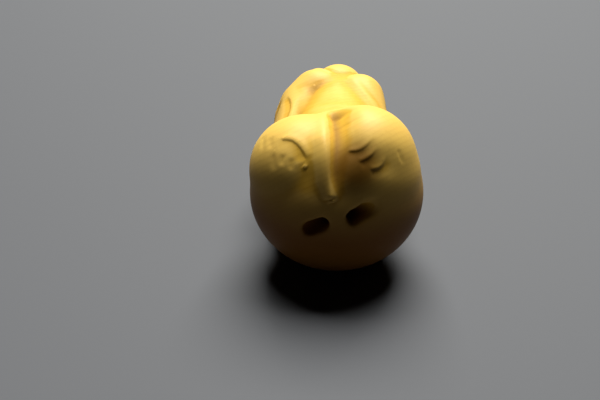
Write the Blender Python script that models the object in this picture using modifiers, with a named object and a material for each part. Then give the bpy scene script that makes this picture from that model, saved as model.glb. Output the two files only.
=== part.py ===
"""A netsuke, a cord toggle carved from one block of boxwood.

It shows a crouching figure in a loose robe, asleep over folded arms. The figure faces +Y, so the
round seat of its robe is at -Y, its shaven crown is up at +Z, and +X is its right-hand side. The
origin is on the surface that it rests on, below the middle of its outer box. The cord passes
through a curved channel whose two mouths open in the seat.
"""

import math

import bmesh
import bpy
import numpy as np
from mathutils import Euler, Matrix, Vector
from mathutils.bvhtree import BVHTree

# The figure is a free form, drawn 54 mm long. Every place and radius on it is in drawn
# millimetres, so the pose and the carving are shares of this one real length, in metres.
FIGURE_LENGTH = 0.054
DRAWN_LENGTH = 54.0
DRAWN_MM = FIGURE_LENGTH / DRAWN_LENGTH

# Cord channel and resting face, real sizes in metres. A mouth's rise is how far the outer end of
# its scoop lies above the skin, its turn is how far round the bend the scoop starts, and its tilt
# is how much steeper the scoop lies than the channel.
CHANNEL_BORE = 0.0025
CHANNEL_SPAN = 0.0052
CHANNEL_DEPTH = 0.0040
CHANNEL_SLOPE = math.radians(13)
SMALL_MOUTH = 0.0026
LARGE_MOUTH = 0.0037
MOUTH_WIDTH = 0.0026
SMALL_MOUTH_RISE = 0.0007
LARGE_MOUTH_RISE = 0.0011
MOUTH_TURN = math.radians(60)
MOUTH_TILT = math.radians(16)
REST_LEVEL = 0.0005

# In drawn millimetres: the channel's middle in the seat, how fast the mouths bend back with the
# seat's curve, how far the limbs lie to the left of the middle, and the head's middle
CHANNEL_MIDDLE = (0.4, -13.2, 16.5)
SEAT_BEND = 0.035
LEAN = 0.6
HEAD_MIDDLE = (-0.1, 33.4, 18.1)
HEAD_PLACE = Matrix.Translation(Vector(HEAD_MIDDLE) * DRAWN_MM) @ Matrix.Rotation(math.radians(-14), 4, "X")

# How finely the block is worked: sizes in metres, how many shares of its radius one ball of a limb
# stands from the next, and numbers of balls, rounds, places at a time and triangles
BODY_VOXEL = 0.00050
HEAD_VOXEL = 0.00036
CHANNEL_VOXEL = 0.00022
CHANNEL_SOFTNESS = 0.00020
SEAT_SOFTNESS = 0.0022
BODY_SOFTNESS = 0.0011
HEAD_SOFTNESS = 0.00040
PATH_STEP = 0.00025
LIMB_STEP = 0.3
CHANNEL_BALLS = 41
STEADYING = 12
BATCH = 4000
SOLID_TRIANGLES = 8000
CHANNEL_TRIANGLES = 500
SHORTEST_EDGE = 0.00003

BOXWOOD = (0.72, 0.48, 0.13, 1.0)
POLISH = 0.42


def clear_scene():
    """Leaves an empty scene, without closing the file that this runs from."""
    for obj in list(bpy.data.objects):
        bpy.data.objects.remove(obj, do_unlink=True)


def new_collection(name):
    collection = bpy.data.collections.new(name)
    bpy.context.scene.collection.children.link(collection)
    return collection


def new_object(name, mesh, collection):
    obj = bpy.data.objects.new(name, mesh)
    collection.objects.link(obj)
    return obj


def evaluated_mesh(obj):
    """The object's mesh with its modifiers worked out, as a mesh of its own."""
    graph = bpy.context.evaluated_depsgraph_get()
    return bpy.data.meshes.new_from_object(obj.evaluated_get(graph))


def ball(form, centre, radii, turn=(0, 0, 0)):
    """Adds an ellipsoid to a bmesh, in drawn millimetres, turned by degrees about X, Y and Z."""
    if isinstance(radii, (int, float)):
        radii = (radii, radii, radii)
    place = Matrix.Translation(Vector(centre) * DRAWN_MM)
    place @= Euler([math.radians(t) for t in turn]).to_matrix().to_4x4()
    place @= Matrix.Diagonal((*(r * DRAWN_MM for r in radii), 1.0))
    bmesh.ops.create_icosphere(form, subdivisions=4, radius=1.0, matrix=place)


def limb(form, *stations):
    """Adds a round limb that tapers from station to station, each ((x, y, z), radius)."""
    for (start, first), (end, last) in zip(stations, stations[1:]):
        reach = (Vector(end) - Vector(start)).length
        count = max(2, math.ceil(reach / (LIMB_STEP * min(first, last))))
        for step in range(count + 1):
            share = step / count
            ball(form, Vector(start).lerp(Vector(end), share), first + (last - first) * share)


def fused(form, name, voxel, softness):
    """Melts the overlapping masses of a bmesh into one skin, and softens it by a radius in metres."""
    mesh = bpy.data.meshes.new(name)
    form.to_mesh(mesh)
    form.free()
    lump = bpy.data.objects.new(name, mesh)
    bpy.context.scene.collection.objects.link(lump)
    melt = lump.modifiers.new("melt", "REMESH")
    melt.mode = "VOXEL"
    melt.voxel_size = voxel
    soften = lump.modifiers.new("soften", "SMOOTH")
    soften.factor = 0.5
    soften.iterations = max(1, round(2 * (softness / voxel) ** 2))
    skin = evaluated_mesh(lump)
    bpy.data.objects.remove(lump)
    return skin


def seat_masses():
    """The round seat of the robe: one wide belly and two lobes, the right-hand one higher."""
    form = bmesh.new()
    ball(form, (0.0, 0.0, 14.4), (15.7, 14.1, 14.4))
    ball(form, (4.2, -1.1, 21.4), 9.9)
    ball(form, (-5.7, -1.1, 19.4), 9.9)
    ball(form, (2.0, -1.2, 18.8), (12.9, 11.6, 11.6))
    return form


def robe_masses():
    """The back, thighs, sleeves and forearms under the robe, as overlapping limbs."""
    form = bmesh.new()
    limb(form, ((0.0, 6.0, 14.8), 10.8), ((-0.2, 16.0, 15.4), 9.6), ((-0.2, 26.5, 17.6), 7.3),
         ((-0.2, 31.0, 18.5), 6.1))
    limb(form, ((-4.1, 29.0, 19.9), 5.8), ((-6.4, 26.5, 18.4), 5.7), ((-7.1, 14.0, 15.8), 6.2))
    limb(form, ((4.0, 27.5, 20.1), 5.3), ((4.8, 14.0, 15.8), 6.2))
    for side in (-1, 1):
        limb(form, ((side * 6.0 - LEAN, 12.0, 11.0), 6.6), ((side * 6.4 - LEAN, 23.0, 11.6), 5.6))
        limb(form, ((side * 5.6 - LEAN, 9.0, 7.2), 7.2), ((side * 6.6 - LEAN, 23.6, 6.3), 6.3))
        limb(form, ((side * 6.9 - LEAN, 25.0, 13.6), 5.0), ((side * 5.4 - LEAN, 30.2, 9.2), 4.9))
        limb(form, ((side * 5.4 - LEAN, 30.2, 9.2), 4.9), ((side * 0.8, 34.6, 8.8), 4.5))
    return form


def head_masses():
    """The head about its own middle, face to +Y: skull, jaw, brow, lids, nose, lips, chin and ears."""
    form = bmesh.new()
    ball(form, (0.0, -0.6, 1.4), (5.4, 6.1, 5.4))
    ball(form, (0.0, 1.4, -1.9), (4.5, 4.2, 4.4))
    ball(form, (0.0, 4.5, -4.9), (1.7, 1.3, 1.3))
    limb(form, ((0.0, 5.3, 1.2), 0.55), ((0.0, 6.1, -1.3), 0.95))
    ball(form, (0.0, 5.3, -2.9), (1.7, 0.7, 0.45))
    ball(form, (0.0, 5.2, -3.6), (1.3, 0.7, 0.45))
    for side in (-1, 1):
        ball(form, (side * 0.85, 5.4, -1.6), (0.6, 0.7, 0.55))
        ball(form, (side * 2.4, 3.6, -1.6), 2.1)
        ball(form, (side * 2.15, 4.5, 0.35), (1.5, 1.05, 0.95))
        limb(form, ((0.0, 5.2, 1.9), 0.6), ((side * 2.0, 4.9, 2.15), 0.6), ((side * 4.0, 3.3, 1.6), 0.55))
        ball(form, (side * 5.2, -0.4, -0.3), (0.8, 1.7, 2.6), (12, 0, side * -18))
    return form


def stroke(stations, depth, near, far=None, bank=0.0, roll=0.8, fades=(0.25, 0.25), place=None):
    """One cut of the knife along the skin, in drawn millimetres.

    Its depth, and its half-widths near (on the left of the cut, as seen from outside) and far (on
    the right), are each a number or a list of numbers spread from start to end. A negative depth
    raises a ridge. The bank is the height of the cloth rolled up on the near side, and roll is how
    wide it rolls. The fades are the shares of the length that run out to nothing at each end.
    """
    points = [Vector(station) * DRAWN_MM for station in stations]
    if place:
        points = [place @ point for point in points]
    sizes = {"depth": depth, "near": near, "far": near if far is None else far, "bank": bank, "roll": roll}
    return {"points": points, "sizes": sizes, "fades": fades}


def mirrored(stations):
    """The same line on the other side of the figure, run backwards so its bank stays on the same edge."""
    return [(-x, y, z) for x, y, z in reversed(stations)]


def smooth_line(stations):
    """Points about a path step apart on a smooth curve through the stations."""
    ends = [2 * stations[0] - stations[1], *stations, 2 * stations[-1] - stations[-2]]
    points = []
    for a, b, c, d in zip(ends, ends[1:], ends[2:], ends[3:]):
        count = max(2, math.ceil((c - b).length / PATH_STEP))
        for t in (step / count for step in range(count)):
            points.append(b + 0.5 * t * (c - a + t * (2 * a - 5 * b + 4 * c - d + t * (3 * (b - c) + d - a))))
    return points + [stations[-1]]


def eased(share):
    share = np.clip(share, 0.0, 1.0)
    return share * share * (3.0 - 2.0 * share)


def between(values, spots):
    """The values at the spots, which are places in their order and may lie between two of them."""
    low = np.minimum(spots.astype(int), len(values) - 2)
    share = spots - low
    if values.ndim > 1:
        share = share[:, None]
    return values[low] * (1.0 - share) + values[low + 1] * share


def stroke_lift(cut, places, tree):
    """How one stroke moves each of the places, straight out of the skin where the stroke runs."""
    found = [tree.find_nearest(point)[:2] for point in smooth_line(cut["points"])]
    line = np.array([place for place, normal in found])
    ups = np.array([normal for place, normal in found])
    for values in (line, ups):
        for _ in range(STEADYING):
            values[1:-1] = (values[:-2] + values[1:-1] + values[2:]) / 3
    steps = np.gradient(line, axis=0)
    stride = np.linalg.norm(steps, axis=1)
    runs = steps / stride[:, None]
    sides = np.cross(ups, runs)
    share = np.linspace(0.0, 1.0, len(line))
    sizes = {}
    for key, value in cut["sizes"].items():
        values = np.atleast_1d(value)
        sizes[key] = DRAWN_MM * np.interp(share, np.linspace(0.0, 1.0, len(values)), values)
    start, end = cut["fades"]
    strength = eased(share / start) * eased((1.0 - share) / end)
    # Three half-widths away a cut has run out to nothing.
    reach = 3.0 * max(sizes["near"].max(), sizes["far"].max(), sizes["roll"].max())
    inside = np.all((places > line.min(axis=0) - reach) & (places < line.max(axis=0) + reach), axis=1)
    close = np.nonzero(inside)[0]
    moves = np.zeros(places.shape)
    for group in np.array_split(close, max(1, len(close) // BATCH)):
        gaps = places[group][:, None, :] - line[None, :, :]
        nearest = np.argmin((gaps ** 2).sum(axis=2), axis=1)
        gap = gaps[np.arange(len(group)), nearest]
        along = (gap * runs[nearest]).sum(axis=1)
        spots = np.clip(nearest + along / stride[nearest], 0.0, len(line) - 1.0)
        gap = places[group] - between(line, spots)
        near, far = (between(sizes[key], spots) for key in ("near", "far"))
        depth, bank, roll = (between(sizes[key], spots) for key in ("depth", "bank", "roll"))
        across = (gap * between(sides, spots)).sum(axis=1)
        off_end = (gap * runs[nearest]).sum(axis=1)
        within = np.exp(-((off_end / np.minimum(near, far)) ** 2)) * (np.linalg.norm(gap, axis=1) < reach)
        groove = depth * np.exp(-((across / np.where(across > 0, near, far)) ** 2))
        rise = bank * np.exp(-(((across - roll) / roll) ** 2))
        lift = (rise - groove) * between(strength, spots) * within
        moves[group] = between(ups, spots) * lift[:, None]
    return moves


def carve(mesh, strokes):
    """Cuts all the strokes into the skin, each measured on the skin as it was before any of them."""
    places = np.empty(3 * len(mesh.vertices))
    mesh.vertices.foreach_get("co", places)
    places = places.reshape(-1, 3)
    tree = BVHTree.FromPolygons([v.co for v in mesh.vertices], [f.vertices for f in mesh.polygons])
    places = places + sum(stroke_lift(cut, places, tree) for cut in strokes)
    mesh.vertices.foreach_set("co", places.ravel())
    mesh.update()


def seat_strokes():
    """The seam with its pleat, the crescent folds on the right, and the arch and streaks on the left."""
    pleat = [(-0.8, -12.9, 19.9), (-1.0, -12.4, 21.6), (-1.4, -11.3, 23.6), (-1.6, -10.2, 25.3),
             (-1.8, -8.3, 27.2), (-2.1, -5.3, 28.4), (-2.2, -2.4, 29.0)]
    seam = [(-0.5, -12.9, 20.6), (-0.3, -12.0, 22.4), (-0.1, -10.4, 24.6), (-0.1, -8.2, 26.8),
            (-0.3, -5.0, 28.6), (-0.7, -1.0, 29.4), (-0.8, 3.5, 28.6)]
    seam_depths = (0.3, 0.8, 1.3, 1.7, 1.7, 1.4, 0.9)
    seam_widths = (0.8, 2.2, 3.2, 3.8, 3.6, 3.0, 2.4)
    crescents = (
        [(1.4, -8.5, 27.0), (2.6, -8.9, 27.0), (3.8, -8.8, 27.2),
         (4.7, -8.4, 27.7), (5.7, -7.6, 28.5), (6.5, -6.5, 29.4)],
        [(3.6, -10.1, 25.6), (4.8, -9.7, 26.0), (5.8, -9.1, 26.4), (6.4, -8.6, 27.1), (6.9, -8.0, 28.0)],
        [(5.3, -10.6, 24.5), (6.5, -10.1, 24.4), (7.5, -9.7, 24.7), (8.1, -8.9, 25.6), (8.4, -8.2, 26.6)],
    )
    arch = [(-9.9, -4.6, 27.5), (-9.4, -5.6, 27.1), (-8.6, -5.7, 27.2), (-7.8, -6.0, 27.4),
            (-6.6, -6.9, 26.8), (-5.8, -7.7, 26.0), (-5.1, -8.8, 25.1)]
    streaks = (
        [(-12.6, -1.5, 26.4), (-12.6, -5.0, 24.8)],
        [(-11.2, -3.4, 27.0), (-11.1, -6.0, 25.5)],
        [(-10.6, -6.5, 25.8), (-10.6, -8.8, 23.0)],
        [(-8.9, -7.2, 25.8), (-9.3, -8.7, 24.0)],
        [(-7.5, -8.0, 25.6), (-7.6, -9.6, 23.6)],
    )
    right_valley = [(8.3, -6.4, 28.4), (8.6, -8.4, 26.2), (8.6, -9.4, 24.2), (8.4, -10.2, 22.4)]
    crease = [(10.1, -6.8, 27.0), (10.6, -7.4, 25.6), (11.4, -7.7, 24.5)]
    pleat_heights = (-0.9, -0.8, -0.7, -0.5, -0.3)
    pleat_widths = (0.6, 1.2, 1.6, 1.8, 2.0)
    arch_depths = (0.1, 0.14, 0.16, 0.18, 0.16)
    arch_widths = (1.4, 2.4, 2.8, 2.2, 1.4)
    cuts = [
        stroke(seam, seam_depths, 1.1, seam_widths, fades=(0.3, 0.15)),
        stroke(pleat, pleat_heights, pleat_widths, 0.8, fades=(0.08, 0.3)),
        stroke([(-0.8, -12.9, 20.4), (-0.6, -13.0, 19.8)], -0.45, 0.6, fades=(0.01, 0.01)),
        stroke(right_valley, 0.15, 2.0, fades=(0.45, 0.45)),
        stroke(crease, 0.06, 0.6, 0.35),
        stroke(arch, arch_depths, 0.3, arch_widths, bank=0.1, fades=(0.2, 0.15)),
        stroke([(-5.6, -9.1, 24.6), (-4.9, -9.6, 24.3)], -0.12, 0.5, fades=(0.01, 0.01)),
    ]
    cuts += [stroke(line, 0.1, 0.25, 1.0, bank=0.09, roll=0.5, fades=(0.15, 0.6)) for line in crescents]
    cuts += [stroke(line, 0.1, 0.6, fades=(0.4, 0.4)) for line in streaks]
    return cuts


def robe_strokes():
    """The sleeve seams on the back, the collar, and the plainer folds of the sides, knees and front."""
    left_seam = [(-1.6, 28.4, 24.5), (-4.7, 24.0, 24.1), (-6.7, 21.2, 23.6),
                 (-7.6, 19.0, 22.8), (-7.8, 13.0, 21.4)]
    right_seam = [(8.6, 14.0, 21.4), (8.5, 19.4, 22.2), (6.4, 22.4, 23.5),
                  (4.6, 25.5, 24.5), (3.3, 30.9, 23.9)]
    collar = [(-5.8, 31.6, 18.5), (-4.2, 29.6, 22.4), (-0.1, 28.6, 24.4),
              (4.0, 29.6, 22.4), (5.6, 31.6, 18.5)]
    cuts = [
        stroke(left_seam, (0.0, 0.0, 0.1, 0.25, 0.25), 1.0, 0.7, fades=(0.3, 0.2)),
        stroke(right_seam, (0.1, 0.2, 0.2, 0.1), 0.9, 1.2, fades=(0.2, 0.3)),
        stroke([(-10.2, 24.4, 21.8), (-9.2, 19.0, 21.6), (-9.8, 12.0, 18.6)], 0.25, 0.4, 1.0),
        stroke([(0.1, 38.0, 12.6), (0.3, 39.2, 9.4), (0.0, 37.6, 4.8)], 0.7, 0.4, fades=(0.1, 0.1)),
        stroke(collar, (0.3, 0.1, 0.0, 0.1, 0.3), 0.4, 0.6, bank=(0.25, 0.1, 0.0, 0.1, 0.25), roll=0.7),
    ]
    sides = (
        [(10.2, 25.6, 20.4), (11.4, 20.0, 16.6), (11.6, 13.5, 13.6)],
        [(10.6, 28.4, 16.6), (11.8, 23.0, 13.6), (12.2, 15.0, 10.6)],
        [(12.4, 11.5, 9.4), (12.4, 18.0, 9.4), (11.6, 25.0, 10.4)],
        [(12.6, 12.5, 5.0), (12.8, 18.5, 5.6), (12.2, 25.0, 6.8)],
        [(2.0, 38.6, 10.8), (5.0, 36.8, 9.6), (8.2, 33.6, 10.2)],
        [(1.8, 38.6, 7.4), (4.6, 36.6, 6.4), (7.6, 33.6, 7.0)],
    )
    for line in sides:
        for run in (line, mirrored(line)):
            cuts.append(stroke(run, 0.45, 0.3, 1.2, bank=0.3, roll=0.8))
    return cuts


def face_strokes():
    """The closed eyes, the mouth and the hollows of the ears, about the head's middle."""
    cuts = [stroke([(-1.7, 5.0, -3.1), (0.0, 5.8, -3.35), (1.7, 5.0, -3.1)], 0.3, 0.25, place=HEAD_PLACE)]
    for side in (-1, 1):
        lid = [(side * 0.95, 5.3, -0.1), (side * 2.1, 5.5, -0.4), (side * 3.4, 4.6, -0.15)]
        ear = [(side * 6.0, -0.6, 1.2), (side * 6.1, 0.3, -0.2), (side * 5.9, -0.2, -1.7)]
        cuts.append(stroke(lid, 0.35, 0.28, fades=(0.15, 0.15), place=HEAD_PLACE))
        cuts.append(stroke(ear, 0.45, 0.4, place=HEAD_PLACE))
    return cuts


def thinned(mesh, triangles):
    """The same skin in fewer triangles, which gather where it bends most."""
    lump = bpy.data.objects.new(mesh.name, mesh)
    bpy.context.scene.collection.objects.link(lump)
    thin = lump.modifiers.new("thin", "DECIMATE")
    thin.ratio = triangles / sum(len(face.vertices) - 2 for face in mesh.polygons)
    thin.use_collapse_triangulate = True
    result = evaluated_mesh(lump)
    bpy.data.objects.remove(lump)
    return result


def channel_mesh():
    """The cord channel: a bore bent like a U into the seat, with a scooped mouth at each end."""
    form = bmesh.new()
    bore = CHANNEL_BORE / 2 / DRAWN_MM
    half_span = CHANNEL_SPAN / 2 / DRAWN_MM
    depth = CHANNEL_DEPTH / DRAWN_MM
    for turn in np.linspace(-math.pi / 2, math.pi / 2, CHANNEL_BALLS):
        ball(form, (half_span * math.sin(turn), depth * math.cos(turn), 0.0), bore)
    for side, length, rise in ((-1, SMALL_MOUTH, SMALL_MOUTH_RISE), (1, LARGE_MOUTH, LARGE_MOUTH_RISE)):
        throat = (side * half_span * math.sin(MOUTH_TURN), depth * math.cos(MOUTH_TURN), 0.0)
        outer = half_span + length / DRAWN_MM * math.cos(MOUTH_TILT)
        drop = outer ** 2 * SEAT_BEND - rise / DRAWN_MM
        rim = (side * outer, drop, side * length / DRAWN_MM * math.sin(MOUTH_TILT))
        limb(form, (throat, bore), (rim, MOUTH_WIDTH / 2 / DRAWN_MM), ((side * half_span, 0.0, 0.0), bore))
    slope = Matrix.Rotation(-CHANNEL_SLOPE, 4, "Y")
    form.transform(Matrix.Translation(Vector(CHANNEL_MIDDLE) * DRAWN_MM) @ slope)
    return thinned(fused(form, "channel", CHANNEL_VOXEL, CHANNEL_SOFTNESS), CHANNEL_TRIANGLES)


def cut_away(figure, mesh, name, cutters):
    """Cuts a mesh out of the figure, and keeps it as a wire object among the cutters."""
    tool = new_object(name, mesh, cutters)
    tool.hide_render = True
    tool.display_type = "WIRE"
    cut = figure.modifiers.new(name, "BOOLEAN")
    cut.operation = "DIFFERENCE"
    cut.solver = "EXACT"
    cut.object = tool


def finish(obj, name, colour, roughness):
    """Gives the object its material."""
    material = bpy.data.materials.new(name)
    material.use_nodes = True
    shader = material.node_tree.nodes["Principled BSDF"]
    shader.inputs["Base Color"].default_value = colour
    shader.inputs["Roughness"].default_value = roughness
    obj.data.materials.clear()
    obj.data.materials.append(material)


def main():
    clear_scene()
    netsuke = new_collection("Netsuke")
    cutters = new_collection("Cutters")

    form = robe_masses()
    form.from_mesh(fused(seat_masses(), "seat", BODY_VOXEL, SEAT_SOFTNESS))
    body = fused(form, "robe", BODY_VOXEL, BODY_SOFTNESS)
    form = head_masses()
    form.transform(HEAD_PLACE)
    form.from_mesh(body)
    skin = fused(form, "figure", HEAD_VOXEL, HEAD_SOFTNESS)
    carve(skin, seat_strokes() + robe_strokes() + face_strokes())
    solid = thinned(skin, SOLID_TRIANGLES)

    places = np.array([vertex.co for vertex in solid.vertices])
    low, high = places.min(axis=0), places.max(axis=0)
    move = Matrix.Translation((-(low[0] + high[0]) / 2, -(low[1] + high[1]) / 2, -REST_LEVEL))
    channel = channel_mesh()
    solid.transform(move)
    channel.transform(move)

    figure = new_object("netsuke", solid, netsuke)
    finish(figure, "boxwood", BOXWOOD, POLISH)
    ground = bmesh.new()
    size = 2 * FIGURE_LENGTH
    bmesh.ops.create_cube(ground, size=size, matrix=Matrix.Translation((0, 0, -size / 2)))
    floor = bpy.data.meshes.new("ground")
    ground.to_mesh(floor)
    ground.free()
    cut_away(figure, floor, "resting face", cutters)
    cut_away(figure, channel, "cord channel", cutters)
    tidy = figure.modifiers.new("tidy", "WELD")
    tidy.merge_threshold = SHORTEST_EDGE


main()
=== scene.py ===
import math

import bmesh
import bpy
import numpy as np
from mathutils import Euler, Matrix, Vector
from mathutils.bvhtree import BVHTree


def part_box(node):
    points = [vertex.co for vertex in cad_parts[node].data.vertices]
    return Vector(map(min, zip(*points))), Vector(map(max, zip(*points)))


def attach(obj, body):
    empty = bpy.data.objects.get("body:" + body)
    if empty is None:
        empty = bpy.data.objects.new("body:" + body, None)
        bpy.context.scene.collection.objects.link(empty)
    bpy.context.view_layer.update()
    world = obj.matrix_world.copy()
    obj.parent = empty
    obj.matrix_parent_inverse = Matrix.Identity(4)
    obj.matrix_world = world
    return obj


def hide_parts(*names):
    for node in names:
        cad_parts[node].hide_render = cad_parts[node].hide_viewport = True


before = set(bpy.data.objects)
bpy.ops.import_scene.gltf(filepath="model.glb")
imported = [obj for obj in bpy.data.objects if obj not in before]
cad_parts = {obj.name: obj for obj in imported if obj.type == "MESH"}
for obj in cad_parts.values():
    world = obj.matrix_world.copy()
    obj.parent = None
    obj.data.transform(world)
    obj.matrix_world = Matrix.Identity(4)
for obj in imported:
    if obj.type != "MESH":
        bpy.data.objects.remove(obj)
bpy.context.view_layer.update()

node_low, node_high = (Vector(corner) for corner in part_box("netsuke"))

# The view: the figure stands on its seat and is seen from behind and above, a hand's breadth and
# a half away. The seat's middle lies right of the picture's middle, so the camera aims beside it.
CAMERA_RISE = math.radians(30)
CAMERA_DISTANCE = 0.165
SEAT_MIDDLE = Vector((0.0, -0.01295, 0.0141))
AIM_LEFT = 0.0065
AIM_BELOW = 0.0018
LENS = 55.0
NEAREST_SEEN = 0.005

away = Vector((0.0, -math.cos(CAMERA_RISE), math.sin(CAMERA_RISE)))
up = Vector((0.0, math.sin(CAMERA_RISE), math.cos(CAMERA_RISE)))
eye = SEAT_MIDDLE + CAMERA_DISTANCE * away
aim = SEAT_MIDDLE - AIM_LEFT * Vector((1.0, 0.0, 0.0)) - AIM_BELOW * up
camera = bpy.data.objects.new("camera", bpy.data.cameras.new("camera"))
bpy.context.scene.collection.objects.link(camera)
camera.location = eye
camera.rotation_euler = (aim - eye).to_track_quat("-Z", "Y").to_euler()
camera.data.lens = LENS
camera.data.clip_start = NEAREST_SEEN
bpy.context.scene.camera = camera
bpy.context.scene.view_settings.view_transform = "Standard"

# The light: one soft lamp above and behind the figure, which leaves the lower half of the seat
# and the floor before it in shade, and a weak, warm, wide fill so that the shade isn't black. Each
# lamp has its place and size in metres, its power in watts and its tint.
LAMPS = {
    "key": ((0.08, 0.72, 1.20), 0.95, 61.0, (1.0, 1.0, 0.93)),
    "fill": ((-1.0, -0.9, 0.6), 0.9, 0.15, (1.0, 0.75, 0.5)),
}
ROOM_GREY = (0.62, 0.64, 0.68, 1.0)
ROOM_STRENGTH = 0.004

for name, (place, size, power, tint) in LAMPS.items():
    lamp = bpy.data.objects.new(name, bpy.data.lights.new(name, "AREA"))
    bpy.context.scene.collection.objects.link(lamp)
    lamp.data.size = size
    lamp.data.energy = power
    lamp.data.color = tint
    lamp.location = place
    lamp.rotation_euler = (SEAT_MIDDLE - lamp.location).to_track_quat("-Z", "Y").to_euler()
world = bpy.data.worlds.new("room")
world.use_nodes = True
world.node_tree.nodes["Background"].inputs["Color"].default_value = ROOM_GREY
world.node_tree.nodes["Background"].inputs["Strength"].default_value = ROOM_STRENGTH
bpy.context.scene.world = world


# The floor: a sheet of pale grey card, matt and even.
FLOOR_SIZE = 12.0
CARD_GREY = "424349"
CARD_ROUGHNESS = 0.75


def colour(code):
    """A six-figure sRGB hex colour, as the linear numbers that a shader takes."""
    parts = [int(code[i:i + 2], 16) / 255 for i in (0, 2, 4)]
    return (*(((c + 0.055) / 1.055) ** 2.4 if c > 0.04045 else c / 12.92 for c in parts), 1.0)


def new_material(name):
    material = bpy.data.materials.new(name)
    material.use_nodes = True
    return material


def add(material, kind, inputs=None, **settings):
    """Adds a node, with its settings, and its inputs as plain values or as (node, output) links."""
    node = material.node_tree.nodes.new(kind)
    for key, value in settings.items():
        setattr(node, key, value)
    for key, value in (inputs or {}).items():
        if isinstance(value, tuple) and isinstance(value[0], bpy.types.Node):
            material.node_tree.links.new(value[0].outputs[value[1]], node.inputs[key])
        else:
            node.inputs[key].default_value = value
    return node


card = new_material("grey_card")
surface = card.node_tree.nodes["Principled BSDF"]
surface.inputs["Base Color"].default_value = colour(CARD_GREY)
surface.inputs["Roughness"].default_value = CARD_ROUGHNESS
form = bmesh.new()
bmesh.ops.create_grid(form, x_segments=1, y_segments=1, size=FLOOR_SIZE / 2)
floor_mesh = bpy.data.meshes.new("floor")
form.to_mesh(floor_mesh)
form.free()
floor = bpy.data.objects.new("floor", floor_mesh)
bpy.context.scene.collection.objects.link(floor)
floor.data.materials.append(card)


# The netsuke: one block of boxwood, carved with knives into a crouching figure in a loose robe,
# asleep over folded arms, and polished by handling. The cord channel is bored through its seat.

# The figure is a free form, drawn 54 mm long. Every place and radius on it is in drawn
# millimetres, so the pose and the carving are shares of this one real length, in metres.
FIGURE_LENGTH = 0.054
DRAWN_LENGTH = 54.0
DRAWN_MM = FIGURE_LENGTH / DRAWN_LENGTH

# Cord channel and resting face, real sizes in metres. A mouth's rise is how far the outer end of
# its scoop lies above the skin, its turn is how far round the bend the scoop starts, and its tilt
# is how much steeper the scoop lies than the channel.
CHANNEL_BORE = 0.0025
CHANNEL_SPAN = 0.0052
CHANNEL_DEPTH = 0.0040
CHANNEL_SLOPE = math.radians(13)
SMALL_MOUTH = 0.0026
LARGE_MOUTH = 0.0037
MOUTH_WIDTH = 0.0026
SMALL_MOUTH_RISE = 0.0007
LARGE_MOUTH_RISE = 0.0011
MOUTH_TURN = math.radians(60)
MOUTH_TILT = math.radians(16)
REST_LEVEL = 0.0005

# In drawn millimetres: the channel's middle in the seat, how fast the mouths bend back with the
# seat's curve, how far the limbs lie to the left of the middle, and the head's middle
CHANNEL_MIDDLE = (0.4, -13.2, 16.5)
SEAT_BEND = 0.035
LEAN = 0.6
HEAD_MIDDLE = (-0.1, 33.4, 18.1)
HEAD_PLACE = Matrix.Translation(Vector(HEAD_MIDDLE) * DRAWN_MM) @ Matrix.Rotation(math.radians(-14), 4, "X")

# How finely the block is worked: sizes in metres, how many shares of its radius one ball of a limb
# stands from the next, and numbers of balls, rounds, places at a time and triangles
BODY_VOXEL = 0.00030
HEAD_VOXEL = 0.00018
CHANNEL_VOXEL = 0.00012
CHANNEL_SOFTNESS = 0.00020
SEAT_SOFTNESS = 0.0022
BODY_SOFTNESS = 0.0011
HEAD_SOFTNESS = 0.00030
PATH_STEP = 0.00025
LIMB_STEP = 0.3
CHANNEL_BALLS = 41
STEADYING = 12
BATCH = 4000
SKIN_TRIANGLES = 190000
CHANNEL_TRIANGLES = 4000


def evaluated_mesh(obj):
    """The object's mesh with its modifiers worked out, as a mesh of its own."""
    graph = bpy.context.evaluated_depsgraph_get()
    return bpy.data.meshes.new_from_object(obj.evaluated_get(graph))


def ball(form, centre, radii, turn=(0, 0, 0)):
    """Adds an ellipsoid to a bmesh, in drawn millimetres, turned by degrees about X, Y and Z."""
    if isinstance(radii, (int, float)):
        radii = (radii, radii, radii)
    place = Matrix.Translation(Vector(centre) * DRAWN_MM)
    place @= Euler([math.radians(t) for t in turn]).to_matrix().to_4x4()
    place @= Matrix.Diagonal((*(r * DRAWN_MM for r in radii), 1.0))
    bmesh.ops.create_icosphere(form, subdivisions=4, radius=1.0, matrix=place)


def limb(form, *stations):
    """Adds a round limb that tapers from station to station, each ((x, y, z), radius)."""
    for (start, first), (end, last) in zip(stations, stations[1:]):
        reach = (Vector(end) - Vector(start)).length
        count = max(2, math.ceil(reach / (LIMB_STEP * min(first, last))))
        for step in range(count + 1):
            share = step / count
            ball(form, Vector(start).lerp(Vector(end), share), first + (last - first) * share)


def fused(form, name, voxel, softness):
    """Melts the overlapping masses of a bmesh into one skin, and softens it by a radius in metres."""
    mesh = bpy.data.meshes.new(name)
    form.to_mesh(mesh)
    form.free()
    lump = bpy.data.objects.new(name, mesh)
    bpy.context.scene.collection.objects.link(lump)
    melt = lump.modifiers.new("melt", "REMESH")
    melt.mode = "VOXEL"
    melt.voxel_size = voxel
    soften = lump.modifiers.new("soften", "SMOOTH")
    soften.factor = 0.5
    soften.iterations = max(1, round(2 * (softness / voxel) ** 2))
    skin = evaluated_mesh(lump)
    bpy.data.objects.remove(lump)
    return skin


def seat_masses():
    """The round seat of the robe: one wide belly and two lobes, the right-hand one higher."""
    form = bmesh.new()
    ball(form, (0.0, 0.0, 14.4), (15.7, 14.1, 14.4))
    ball(form, (4.2, -1.1, 21.4), 9.9)
    ball(form, (-5.7, -1.1, 19.4), 9.9)
    ball(form, (2.0, -1.2, 18.8), (12.9, 11.6, 11.6))
    return form


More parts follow.
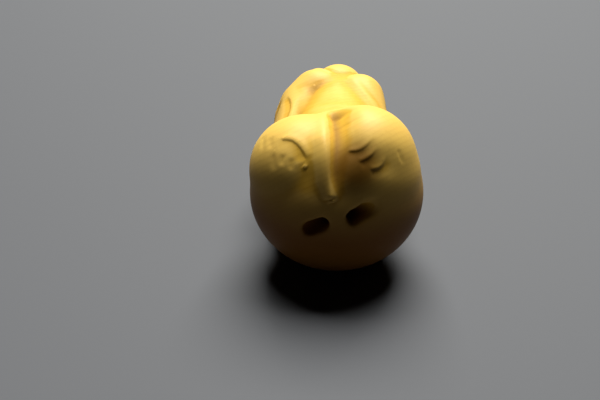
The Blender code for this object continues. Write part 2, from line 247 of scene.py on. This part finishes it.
def robe_masses():
    """The back, thighs, sleeves and forearms under the robe, as overlapping limbs."""
    form = bmesh.new()
    limb(form, ((0.0, 6.0, 14.8), 10.8), ((-0.2, 16.0, 15.4), 9.6), ((-0.2, 26.5, 17.6), 7.3),
         ((-0.2, 31.0, 18.5), 6.1))
    limb(form, ((-4.1, 29.0, 19.9), 5.8), ((-6.4, 26.5, 18.4), 5.7), ((-7.1, 14.0, 15.8), 6.2))
    limb(form, ((4.0, 27.5, 20.1), 5.3), ((4.8, 14.0, 15.8), 6.2))
    for side in (-1, 1):
        limb(form, ((side * 6.0 - LEAN, 12.0, 11.0), 6.6), ((side * 6.4 - LEAN, 23.0, 11.6), 5.6))
        limb(form, ((side * 5.6 - LEAN, 9.0, 7.2), 7.2), ((side * 6.6 - LEAN, 23.6, 6.3), 6.3))
        limb(form, ((side * 6.9 - LEAN, 25.0, 13.6), 5.0), ((side * 5.4 - LEAN, 30.2, 9.2), 4.9))
        limb(form, ((side * 5.4 - LEAN, 30.2, 9.2), 4.9), ((side * 0.8, 34.6, 8.8), 4.5))
    return form


def head_masses():
    """The head about its own middle, face to +Y: skull, jaw, brow, lids, nose, lips, chin and ears."""
    form = bmesh.new()
    ball(form, (0.0, -0.6, 1.4), (5.4, 6.1, 5.4))
    ball(form, (0.0, 1.4, -1.9), (4.5, 4.2, 4.4))
    ball(form, (0.0, 4.5, -4.9), (1.7, 1.3, 1.3))
    limb(form, ((0.0, 5.3, 1.2), 0.55), ((0.0, 6.1, -1.3), 0.95))
    ball(form, (0.0, 5.3, -2.9), (1.7, 0.7, 0.45))
    ball(form, (0.0, 5.2, -3.6), (1.3, 0.7, 0.45))
    for side in (-1, 1):
        ball(form, (side * 0.85, 5.4, -1.6), (0.6, 0.7, 0.55))
        ball(form, (side * 2.4, 3.6, -1.6), 2.1)
        ball(form, (side * 2.15, 4.5, 0.35), (1.5, 1.05, 0.95))
        limb(form, ((0.0, 5.2, 1.9), 0.6), ((side * 2.0, 4.9, 2.15), 0.6), ((side * 4.0, 3.3, 1.6), 0.55))
        ball(form, (side * 5.2, -0.4, -0.3), (0.8, 1.7, 2.6), (12, 0, side * -18))
    return form


def stroke(stations, depth, near, far=None, bank=0.0, roll=0.8, fades=(0.25, 0.25), place=None):
    """One cut of the knife along the skin, in drawn millimetres.

    Its depth, and its half-widths near (on the left of the cut, as seen from outside) and far (on
    the right), are each a number or a list of numbers spread from start to end. A negative depth
    raises a ridge. The bank is the height of the cloth rolled up on the near side, and roll is how
    wide it rolls. The fades are the shares of the length that run out to nothing at each end.
    """
    points = [Vector(station) * DRAWN_MM for station in stations]
    if place:
        points = [place @ point for point in points]
    sizes = {"depth": depth, "near": near, "far": near if far is None else far, "bank": bank, "roll": roll}
    return {"points": points, "sizes": sizes, "fades": fades}


def mirrored(stations):
    """The same line on the other side of the figure, run backwards so its bank stays on the same edge."""
    return [(-x, y, z) for x, y, z in reversed(stations)]


def smooth_line(stations):
    """Points about a path step apart on a smooth curve through the stations."""
    ends = [2 * stations[0] - stations[1], *stations, 2 * stations[-1] - stations[-2]]
    points = []
    for a, b, c, d in zip(ends, ends[1:], ends[2:], ends[3:]):
        count = max(2, math.ceil((c - b).length / PATH_STEP))
        for t in (step / count for step in range(count)):
            points.append(b + 0.5 * t * (c - a + t * (2 * a - 5 * b + 4 * c - d + t * (3 * (b - c) + d - a))))
    return points + [stations[-1]]


def eased(share):
    share = np.clip(share, 0.0, 1.0)
    return share * share * (3.0 - 2.0 * share)


def between(values, spots):
    """The values at the spots, which are places in their order and may lie between two of them."""
    low = np.minimum(spots.astype(int), len(values) - 2)
    share = spots - low
    if values.ndim > 1:
        share = share[:, None]
    return values[low] * (1.0 - share) + values[low + 1] * share


def stroke_lift(cut, places, tree):
    """How one stroke moves each of the places, straight out of the skin where the stroke runs."""
    found = [tree.find_nearest(point)[:2] for point in smooth_line(cut["points"])]
    line = np.array([place for place, normal in found])
    ups = np.array([normal for place, normal in found])
    for values in (line, ups):
        for _ in range(STEADYING):
            values[1:-1] = (values[:-2] + values[1:-1] + values[2:]) / 3
    steps = np.gradient(line, axis=0)
    stride = np.linalg.norm(steps, axis=1)
    runs = steps / stride[:, None]
    sides = np.cross(ups, runs)
    share = np.linspace(0.0, 1.0, len(line))
    sizes = {}
    for key, value in cut["sizes"].items():
        values = np.atleast_1d(value)
        sizes[key] = DRAWN_MM * np.interp(share, np.linspace(0.0, 1.0, len(values)), values)
    start, end = cut["fades"]
    strength = eased(share / start) * eased((1.0 - share) / end)
    # Three half-widths away a cut has run out to nothing.
    reach = 3.0 * max(sizes["near"].max(), sizes["far"].max(), sizes["roll"].max())
    inside = np.all((places > line.min(axis=0) - reach) & (places < line.max(axis=0) + reach), axis=1)
    close = np.nonzero(inside)[0]
    moves = np.zeros(places.shape)
    for group in np.array_split(close, max(1, len(close) // BATCH)):
        gaps = places[group][:, None, :] - line[None, :, :]
        nearest = np.argmin((gaps ** 2).sum(axis=2), axis=1)
        gap = gaps[np.arange(len(group)), nearest]
        along = (gap * runs[nearest]).sum(axis=1)
        spots = np.clip(nearest + along / stride[nearest], 0.0, len(line) - 1.0)
        gap = places[group] - between(line, spots)
        near, far = (between(sizes[key], spots) for key in ("near", "far"))
        depth, bank, roll = (between(sizes[key], spots) for key in ("depth", "bank", "roll"))
        across = (gap * between(sides, spots)).sum(axis=1)
        off_end = (gap * runs[nearest]).sum(axis=1)
        within = np.exp(-((off_end / np.minimum(near, far)) ** 2)) * (np.linalg.norm(gap, axis=1) < reach)
        groove = depth * np.exp(-((across / np.where(across > 0, near, far)) ** 2))
        rise = bank * np.exp(-(((across - roll) / roll) ** 2))
        lift = (rise - groove) * between(strength, spots) * within
        moves[group] = between(ups, spots) * lift[:, None]
    return moves


def carve(mesh, strokes):
    """Cuts all the strokes into the skin, each measured on the skin as it was before any of them."""
    places = np.empty(3 * len(mesh.vertices))
    mesh.vertices.foreach_get("co", places)
    places = places.reshape(-1, 3)
    tree = BVHTree.FromPolygons([v.co for v in mesh.vertices], [f.vertices for f in mesh.polygons])
    places = places + sum(stroke_lift(cut, places, tree) for cut in strokes)
    mesh.vertices.foreach_set("co", places.ravel())
    mesh.update()


def seat_strokes():
    """The seam with its pleat, the crescent folds on the right, and the arch and streaks on the left."""
    pleat = [(-0.8, -12.9, 19.9), (-1.0, -12.4, 21.6), (-1.4, -11.3, 23.6), (-1.6, -10.2, 25.3),
             (-1.8, -8.3, 27.2), (-2.1, -5.3, 28.4), (-2.2, -2.4, 29.0)]
    seam = [(-0.5, -12.9, 20.6), (-0.3, -12.0, 22.4), (-0.1, -10.4, 24.6), (-0.1, -8.2, 26.8),
            (-0.3, -5.0, 28.6), (-0.7, -1.0, 29.4), (-0.8, 3.5, 28.6)]
    seam_depths = (0.1, 0.35, 0.8, 1.3, 1.7, 1.6, 1.0)
    seam_widths = (0.8, 1.6, 2.6, 3.4, 3.8, 3.4, 2.6)
    crescents = (
        [(1.4, -8.5, 27.0), (2.6, -8.9, 27.0), (3.8, -8.8, 27.2),
         (4.7, -8.4, 27.7), (5.7, -7.6, 28.5), (6.5, -6.5, 29.4)],
        [(3.6, -10.1, 25.6), (4.8, -9.7, 26.0), (5.8, -9.1, 26.4), (6.4, -8.6, 27.1), (6.9, -8.0, 28.0)],
        [(5.3, -10.6, 24.5), (6.5, -10.1, 24.4), (7.5, -9.7, 24.7), (8.1, -8.9, 25.6), (8.4, -8.2, 26.6)],
    )
    arch = [(-9.9, -4.6, 27.5), (-9.4, -5.6, 27.1), (-8.6, -5.7, 27.2), (-7.8, -6.0, 27.4),
            (-6.6, -6.9, 26.8), (-5.8, -7.7, 26.0), (-5.1, -8.8, 25.1)]
    streaks = (
        [(-12.6, -1.5, 26.4), (-12.6, -5.0, 24.8)],
        [(-11.2, -3.4, 27.0), (-11.1, -6.0, 25.5)],
        [(-10.6, -6.5, 25.8), (-10.6, -8.8, 23.0)],
        [(-8.9, -7.2, 25.8), (-9.3, -8.7, 24.0)],
        [(-7.5, -8.0, 25.6), (-7.6, -9.6, 23.6)],
    )
    right_valley = [(8.3, -6.4, 28.4), (8.6, -8.4, 26.2), (8.6, -9.4, 24.2), (8.4, -10.2, 22.4)]
    crease = [(10.1, -6.8, 27.0), (10.6, -7.4, 25.6), (11.4, -7.7, 24.5)]
    pleat_heights = (-0.9, -0.8, -0.7, -0.5, -0.3)
    pleat_widths = (0.9, 2.0, 2.7, 2.7, 2.4)
    arch_depths = (0.1, 0.14, 0.16, 0.18, 0.16)
    arch_widths = (1.4, 2.4, 2.8, 2.2, 1.4)
    cuts = [
        stroke(seam, seam_depths, 1.1, seam_widths, fades=(0.2, 0.15)),
        stroke(pleat, pleat_heights, pleat_widths, 0.8, fades=(0.08, 0.3)),
        stroke([(-0.8, -12.9, 20.4), (-0.6, -13.0, 19.8)], -0.45, 0.6, fades=(0.01, 0.01)),
        stroke(right_valley, 0.15, 2.0, fades=(0.45, 0.45)),
        stroke(crease, 0.06, 0.6, 0.35),
        stroke(arch, arch_depths, 0.3, arch_widths, bank=0.1, fades=(0.2, 0.15)),
        stroke([(-5.6, -9.1, 24.6), (-4.9, -9.6, 24.3)], -0.12, 0.5, fades=(0.01, 0.01)),
    ]
    cuts += [stroke(line, 0.1, 0.25, 1.0, bank=0.09, roll=0.5, fades=(0.15, 0.6)) for line in crescents]
    cuts += [stroke(line, 0.1, 0.6, fades=(0.4, 0.4)) for line in streaks]
    return cuts


def robe_strokes():
    """The sleeve seams on the back, the collar, and the plainer folds of the sides, knees and front."""
    left_seam = [(-1.6, 28.4, 24.5), (-4.7, 24.0, 24.1), (-6.7, 21.2, 23.6),
                 (-7.6, 19.0, 22.8), (-7.8, 13.0, 21.4)]
    right_seam = [(8.6, 14.0, 21.4), (8.5, 19.4, 22.2), (6.4, 22.4, 23.5),
                  (4.6, 25.5, 24.5), (3.3, 30.9, 23.9)]
    collar = [(-5.8, 31.6, 18.5), (-4.2, 29.6, 22.4), (-0.1, 28.6, 24.4),
              (4.0, 29.6, 22.4), (5.6, 31.6, 18.5)]
    cuts = [
        stroke(left_seam, (0.0, 0.0, 0.1, 0.25, 0.25), 1.0, 0.7, fades=(0.3, 0.2)),
        stroke(right_seam, (0.1, 0.2, 0.2, 0.1), 0.9, 1.2, fades=(0.2, 0.3)),
        stroke([(-10.2, 24.4, 21.8), (-9.2, 19.0, 21.6), (-9.8, 12.0, 18.6)], 0.25, 0.4, 1.0),
        stroke([(0.1, 38.0, 12.6), (0.3, 39.2, 9.4), (0.0, 37.6, 4.8)], 0.7, 0.4, fades=(0.1, 0.1)),
        stroke(collar, (0.3, 0.1, 0.0, 0.1, 0.3), 0.4, 0.6, bank=(0.25, 0.1, 0.0, 0.1, 0.25), roll=0.7),
    ]
    sides = (
        [(10.2, 25.6, 20.4), (11.4, 20.0, 16.6), (11.6, 13.5, 13.6)],
        [(10.6, 28.4, 16.6), (11.8, 23.0, 13.6), (12.2, 15.0, 10.6)],
        [(12.4, 11.5, 9.4), (12.4, 18.0, 9.4), (11.6, 25.0, 10.4)],
        [(12.6, 12.5, 5.0), (12.8, 18.5, 5.6), (12.2, 25.0, 6.8)],
        [(2.0, 38.6, 10.8), (5.0, 36.8, 9.6), (8.2, 33.6, 10.2)],
        [(1.8, 38.6, 7.4), (4.6, 36.6, 6.4), (7.6, 33.6, 7.0)],
    )
    for line in sides:
        for run in (line, mirrored(line)):
            cuts.append(stroke(run, 0.45, 0.3, 1.2, bank=0.3, roll=0.8))
    return cuts


def face_strokes():
    """The closed eyes, the mouth and the hollows of the ears, about the head's middle."""
    cuts = [stroke([(-1.7, 5.0, -3.1), (0.0, 5.8, -3.35), (1.7, 5.0, -3.1)], 0.3, 0.25, place=HEAD_PLACE)]
    for side in (-1, 1):
        lid = [(side * 0.95, 5.3, -0.1), (side * 2.1, 5.5, -0.4), (side * 3.4, 4.6, -0.15)]
        ear = [(side * 6.0, -0.6, 1.2), (side * 6.1, 0.3, -0.2), (side * 5.9, -0.2, -1.7)]
        cuts.append(stroke(lid, 0.35, 0.28, fades=(0.15, 0.15), place=HEAD_PLACE))
        cuts.append(stroke(ear, 0.45, 0.4, place=HEAD_PLACE))
    return cuts


def thinned(mesh, triangles):
    """The same skin in fewer triangles, which gather where it bends most."""
    lump = bpy.data.objects.new(mesh.name, mesh)
    bpy.context.scene.collection.objects.link(lump)
    thin = lump.modifiers.new("thin", "DECIMATE")
    thin.ratio = triangles / sum(len(face.vertices) - 2 for face in mesh.polygons)
    thin.use_collapse_triangulate = True
    result = evaluated_mesh(lump)
    bpy.data.objects.remove(lump)
    return result


def channel_mesh():
    """The cord channel: a bore bent like a U into the seat, with a scooped mouth at each end."""
    form = bmesh.new()
    bore = CHANNEL_BORE / 2 / DRAWN_MM
    half_span = CHANNEL_SPAN / 2 / DRAWN_MM
    depth = CHANNEL_DEPTH / DRAWN_MM
    for turn in np.linspace(-math.pi / 2, math.pi / 2, CHANNEL_BALLS):
        ball(form, (half_span * math.sin(turn), depth * math.cos(turn), 0.0), bore)
    for side, length, rise in ((-1, SMALL_MOUTH, SMALL_MOUTH_RISE), (1, LARGE_MOUTH, LARGE_MOUTH_RISE)):
        throat = (side * half_span * math.sin(MOUTH_TURN), depth * math.cos(MOUTH_TURN), 0.0)
        outer = half_span + length / DRAWN_MM * math.cos(MOUTH_TILT)
        drop = outer ** 2 * SEAT_BEND - rise / DRAWN_MM
        rim = (side * outer, drop, side * length / DRAWN_MM * math.sin(MOUTH_TILT))
        limb(form, (throat, bore), (rim, MOUTH_WIDTH / 2 / DRAWN_MM), ((side * half_span, 0.0, 0.0), bore))
    slope = Matrix.Rotation(-CHANNEL_SLOPE, 4, "Y")
    form.transform(Matrix.Translation(Vector(CHANNEL_MIDDLE) * DRAWN_MM) @ slope)
    return thinned(fused(form, "channel", CHANNEL_VOXEL, CHANNEL_SOFTNESS), CHANNEL_TRIANGLES)


form = robe_masses()
form.from_mesh(fused(seat_masses(), "seat", BODY_VOXEL, SEAT_SOFTNESS))
robe = fused(form, "robe", BODY_VOXEL, BODY_SOFTNESS)
form = head_masses()
form.transform(HEAD_PLACE)
form.from_mesh(robe)
skin = fused(form, "skin", HEAD_VOXEL, HEAD_SOFTNESS)
carve(skin, seat_strokes() + robe_strokes() + face_strokes())

# The carved block is set over the middle of the part's box, and sunk by the resting level.
places = np.array([vertex.co for vertex in skin.vertices])
middle = (places.min(axis=0) + places.max(axis=0)) / 2
node_middle = (node_low + node_high) / 2
move = Matrix.Translation((node_middle.x - middle[0], node_middle.y - middle[1], node_low.z - REST_LEVEL))
channel = channel_mesh()
skin.transform(move)
channel.transform(move)


def cut_away(mesh, tool_mesh):
    """The mesh with the tool's shape cut out of it."""
    block = bpy.data.objects.new("block", mesh)
    tool = bpy.data.objects.new("tool", tool_mesh)
    for obj in (block, tool):
        bpy.context.scene.collection.objects.link(obj)
    cut = block.modifiers.new("cut", "BOOLEAN")
    cut.operation = "DIFFERENCE"
    cut.solver = "EXACT"
    cut.object = tool
    result = evaluated_mesh(block)
    bpy.data.objects.remove(block)
    bpy.data.objects.remove(tool)
    return result


# What lies below the resting face is cut off flat.
form = bmesh.new()
ground = bpy.data.meshes.new("ground")
size = 2 * FIGURE_LENGTH
bmesh.ops.create_cube(form, size=size, matrix=Matrix.Translation((0, 0, node_low.z - size / 2)))
form.to_mesh(ground)
form.free()
skin = cut_away(cut_away(skin, channel), ground)
skin = thinned(skin, SKIN_TRIANGLES)

# The cord has worn the edges of the channel's mouths round, out to this many metres from it.
WORN_RIM = 0.0006
RIM_ROUNDS = 16

near_channel = BVHTree.FromPolygons([v.co for v in channel.vertices],
                                    [f.vertices for f in channel.polygons])
form = bmesh.new()
form.from_mesh(skin)
worn = [vertex for vertex in form.verts if near_channel.find_nearest(vertex.co, WORN_RIM)[0]]
for _ in range(RIM_ROUNDS):
    bmesh.ops.smooth_vert(form, verts=worn, factor=0.5, use_axis_x=True, use_axis_y=True, use_axis_z=True)
form.to_mesh(skin)
form.free()
skin.shade_smooth()


def hollowness(mesh, rounds):
    """How far each point lies below the skin around it, in millimetres, after rounds of averaging."""
    count = len(mesh.vertices)
    places = np.empty(3 * count)
    normals = np.empty_like(places)
    mesh.vertices.foreach_get("co", places)
    mesh.vertex_normals.foreach_get("vector", normals)
    places = places.reshape(-1, 3)
    ends = np.empty(2 * len(mesh.edges), dtype=np.int32)
    mesh.edges.foreach_get("vertices", ends)
    ends = ends.reshape(-1, 2)
    shares = np.bincount(ends.ravel(), minlength=count)
    smooth = places
    for _ in range(rounds):
        total = np.stack([np.bincount(ends[:, 0], smooth[ends[:, 1], k], count)
                          + np.bincount(ends[:, 1], smooth[ends[:, 0], k], count) for k in range(3)], axis=1)
        smooth = 0.5 * smooth + 0.5 * total / shares[:, None]
    return ((smooth - places) * normals.reshape(-1, 3)).sum(axis=1) * 1000


# A few rounds of averaging find the cuts of the knife, and many find the valleys and the ridges.
FINE_ROUNDS = 14
BROAD_ROUNDS = 220

for name, rounds in (("fine_hollow", FINE_ROUNDS), ("broad_hollow", BROAD_ROUNDS)):
    values = hollowness(skin, rounds).astype(np.float32)
    skin.attributes.new(name, "FLOAT", "POINT").data.foreach_set("value", values)

netsuke = bpy.data.objects.new("netsuke_carving", skin)
bpy.context.scene.collection.objects.link(netsuke)

# Boxwood: a close-grained, honey-yellow wood, cut with knives and rubbed by hands to a satin shine.
# Yearly rings show as fine darker lines and proud edges wear paler. Painted shade darkens the cuts,
# the valleys, most of all the valley beside the pleat, and the wood low down.
HONEY = "CEA23A"
DEEP_HONEY = "B88626"
RING_BROWN = "A8761E"
# The colour of the painted shade in the knife cuts and the valleys.
PAINTED_SHADE_BROWN = "643E04"
WORN = "E8C878"
# The colour of the painted shade that darkens the wood low down.
LOW_SHADE_BROWN = "6A3202"
WOOD_IOR = 1.5
WOOD_SPECULAR = 0.12
RUBBED_ROUGHNESS = (0.44, 0.56)
GRIME_ROUGHNESS = 0.25

# The pattern of the log, in metres, with the middle of the painted shade in the valley beside the
# pleat, the ways that the log's heart lies and its fibres run, and how far off the heart is. A wave
# texture at scale 1 draws a ring every WAVE_TURN. Real fibres are a few hundredths of a millimetre
# wide, too fine to show, so they are drawn coarser, and the relief of fibres and rings is a hundredth of a
# millimetre high.
RING_SPACING = 0.0009
WAVE_TURN = 2 * math.pi / 20
FIBRE_WIDTH = 0.00025
PATCH_SIZE = 0.012
SHADED_VALLEY_MIDDLE = (0.0029, -0.0231, 0.0247)
HEART_SIDE = Vector((0.44, -0.57, -0.69)).normalized()
HEART_DISTANCE = 0.045
FIBRE_RUN = Vector((0.31, 0.82, -0.48)).normalized()
RELIEF_HEIGHT = 0.00001
RELIEF_STRENGTH = 0.3

boxwood = new_material("boxwood_polished")
shader = boxwood.node_tree.nodes["Principled BSDF"]
here = add(boxwood, "ShaderNodeTexCoord")
across_fibre = HEART_SIDE.cross(FIBRE_RUN).normalized()
log_turn = Matrix((FIBRE_RUN.cross(across_fibre), across_fibre, FIBRE_RUN)).transposed()
log_place = add(boxwood, "ShaderNodeMapping",
                {"Vector": (here, "Object"), "Location": SEAT_MIDDLE + HEART_DISTANCE * HEART_SIDE,
                 "Rotation": log_turn.to_euler()}, vector_type="TEXTURE")
rings = add(boxwood, "ShaderNodeTexWave",
            {"Vector": (log_place, "Vector"), "Scale": WAVE_TURN / RING_SPACING, "Distortion": 2.0,
             "Detail": 2.0, "Detail Scale": 0.35}, wave_type="RINGS", rings_direction="Z", wave_profile="SAW")
fibre_place = add(boxwood, "ShaderNodeMapping", {"Vector": (log_place, "Vector"), "Scale": (1.0, 1.0, 0.06)})
fibres = add(boxwood, "ShaderNodeTexNoise",
             {"Vector": (fibre_place, "Vector"), "Scale": 0.5 / FIBRE_WIDTH, "Detail": 3.0,
              "Roughness": 0.55})
patches = add(boxwood, "ShaderNodeTexNoise",
              {"Vector": (here, "Object"), "Scale": 1 / PATCH_SIZE, "Detail": 4.0, "Roughness": 0.6})
fine_hollow = add(boxwood, "ShaderNodeAttribute", attribute_name="fine_hollow")
broad_hollow = add(boxwood, "ShaderNodeAttribute", attribute_name="broad_hollow")
height = add(boxwood, "ShaderNodeSeparateXYZ", {"Vector": (here, "Object")})
# How far each point lies from the middle of the painted shade in the valley.
from_shaded_valley = add(boxwood, "ShaderNodeVectorMath", {0: (here, "Object"), 1: SHADED_VALLEY_MIDDLE},
                  operation="DISTANCE")

# Each stain or painted shade lies on the one before: a node's output, from where to where it comes
# in, how strongly it shows there, and its colour. Inputs 6 and 7 of a Mix node are its two colours,
# and its output 2 is their mix.
STAINS_AND_PAINTED_SHADE = (
    (patches, "Fac", 0.35, 0.75, 0.5, DEEP_HONEY),
    (rings, "Fac", 0.5, 1.0, 0.16, RING_BROWN),
    (fibres, "Fac", 0.45, 0.75, 0.3, DEEP_HONEY),
    (broad_hollow, "Fac", -0.02, -0.2, 0.35, WORN),
    # Painted shade: darker in the broad valleys of the skin, where light falls less.
    (broad_hollow, "Fac", -0.02, 0.5, 0.6, PAINTED_SHADE_BROWN),
    # Painted shade: darker in the knife cuts, where shade falls.
    (fine_hollow, "Fac", 0.01, 0.12, 0.3, PAINTED_SHADE_BROWN),
    # Painted shade: the wood darker towards the bottom, where the lower half lies in shade.
    (height, "Z", 0.024, 0.011, 0.85, LOW_SHADE_BROWN),
    # Painted shade: a dark patch round the valley beside the pleat.
    (from_shaded_valley, "Value", 0.0066, 0.0018, 0.9, PAINTED_SHADE_BROWN),
)
wood = colour(HONEY)
for source, output, start, end, most, tint in STAINS_AND_PAINTED_SHADE:
    amount = add(boxwood, "ShaderNodeMapRange",
                 {"Value": (source, output), "From Min": start, "From Max": end, "To Max": most},
                 interpolation_type="SMOOTHSTEP")
    stains_and_shade = add(boxwood, "ShaderNodeMix", {"Factor": (amount, "Result"), 6: wood, 7: colour(tint)},
                  data_type="RGBA")
    wood = (stains_and_shade, 2)
boxwood.node_tree.links.new(stains_and_shade.outputs[2], shader.inputs["Base Color"])

rubbed = add(boxwood, "ShaderNodeMapRange",
             {"Value": (patches, "Fac"), "From Min": 0.3, "From Max": 0.8,
              "To Min": RUBBED_ROUGHNESS[0], "To Max": RUBBED_ROUGHNESS[1]})
dull = add(boxwood, "ShaderNodeMapRange",
           {"Value": (fine_hollow, "Fac"), "From Min": 0.0, "From Max": 0.08,
            "To Max": GRIME_ROUGHNESS})
shine = add(boxwood, "ShaderNodeMath", {0: (rubbed, "Result"), 1: (dull, "Result")}, operation="ADD")
boxwood.node_tree.links.new(shine.outputs[0], shader.inputs["Roughness"])
relief = add(boxwood, "ShaderNodeMath", {0: (fibres, "Fac"), 1: (rings, "Fac")}, operation="SUBTRACT")
bump = add(boxwood, "ShaderNodeBump",
           {"Strength": RELIEF_STRENGTH, "Distance": RELIEF_HEIGHT, "Height": (relief, 0)})
boxwood.node_tree.links.new(bump.outputs["Normal"], shader.inputs["Normal"])
shader.inputs["IOR"].default_value = WOOD_IOR
shader.inputs["Specular IOR Level"].default_value = WOOD_SPECULAR
netsuke.data.materials.clear()
netsuke.data.materials.append(boxwood)

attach(netsuke, "root")
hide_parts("netsuke")
